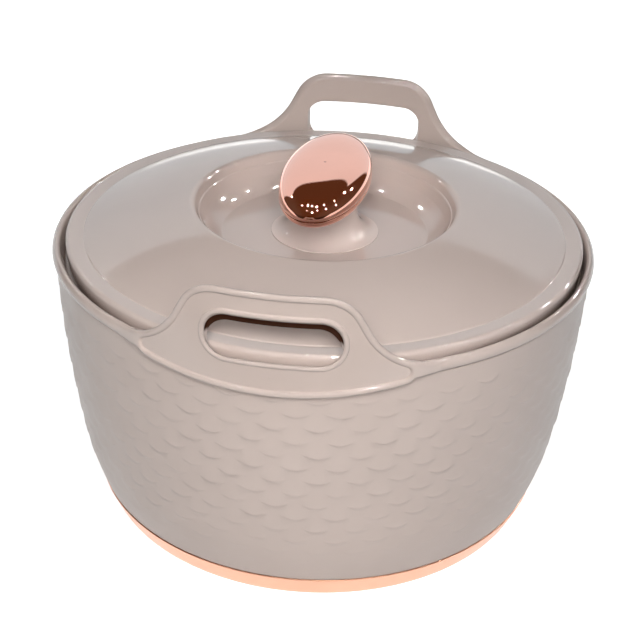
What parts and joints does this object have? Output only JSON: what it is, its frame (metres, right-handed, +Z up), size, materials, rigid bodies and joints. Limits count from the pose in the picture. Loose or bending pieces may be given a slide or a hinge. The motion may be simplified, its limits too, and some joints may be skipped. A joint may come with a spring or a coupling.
{
  "type": "insulated casserole",
  "caption": "Round insulated casserole with a steel liner, upright slotted rim handles and a lift-off lid with an oval knob.",
  "frame": {"origin": "centre of the base on the ground, on the bowl's axis", "axes": "+Z up along the bowl's axis; the two handles stand at -Y (front) and +Y (rear), and the knob's long side lies along Y"},
  "size_m": [0.25, 0.2532, 0.1661],
  "materials": {
    "taupe_shell": "gloss",
    "taupe_collar": "gloss",
    "taupe_lid": "gloss",
    "taupe_pedestal": "gloss",
    "peach_band": "satin",
    "base_plastic": "matte",
    "plug_plastic": "matte",
    "lid_plug_plastic": "matte",
    "inner_plate_plastic": "satin",
    "liner_steel": "satin",
    "insulation_foam": "matte",
    "lid_insulation_foam": "matte",
    "silicone": "satin",
    "core_plastic": "matte",
    "rose_gold_plating": "polished",
    "rose_gold_underside": "polished",
    "insert_brass": "satin",
    "washer_steel": "satin",
    "screw_steel": "satin"
  },
  "bodies": {
    "bowl": {"outer_bowl": "taupe_shell", "base_band": "peach_band", "base_plate": "base_plastic", "body_fill_plug": "plug_plastic", "inner_liner": "liner_steel", "body_foam": "insulation_foam", "handle_collar": "taupe_collar"},
    "lid": {"lid_shell": "taupe_lid", "knob_pedestal": "taupe_pedestal", "lid_fill_plug": "lid_plug_plastic", "lid_inner_plate": "inner_plate_plastic", "lid_foam": "lid_insulation_foam", "lid_gasket": "silicone", "knob_core": "core_plastic", "knob_cap": "rose_gold_plating", "knob_base": "rose_gold_underside", "threaded_insert": "insert_brass", "knob_washer": "washer_steel", "knob_screw": "screw_steel"}
  },
  "joints": [
    {"name": "lid_lift", "type": "slide", "parent": "bowl", "child": "lid", "axis": [0, 0, 1], "range_m": [0, 0.06]}
  ]
}
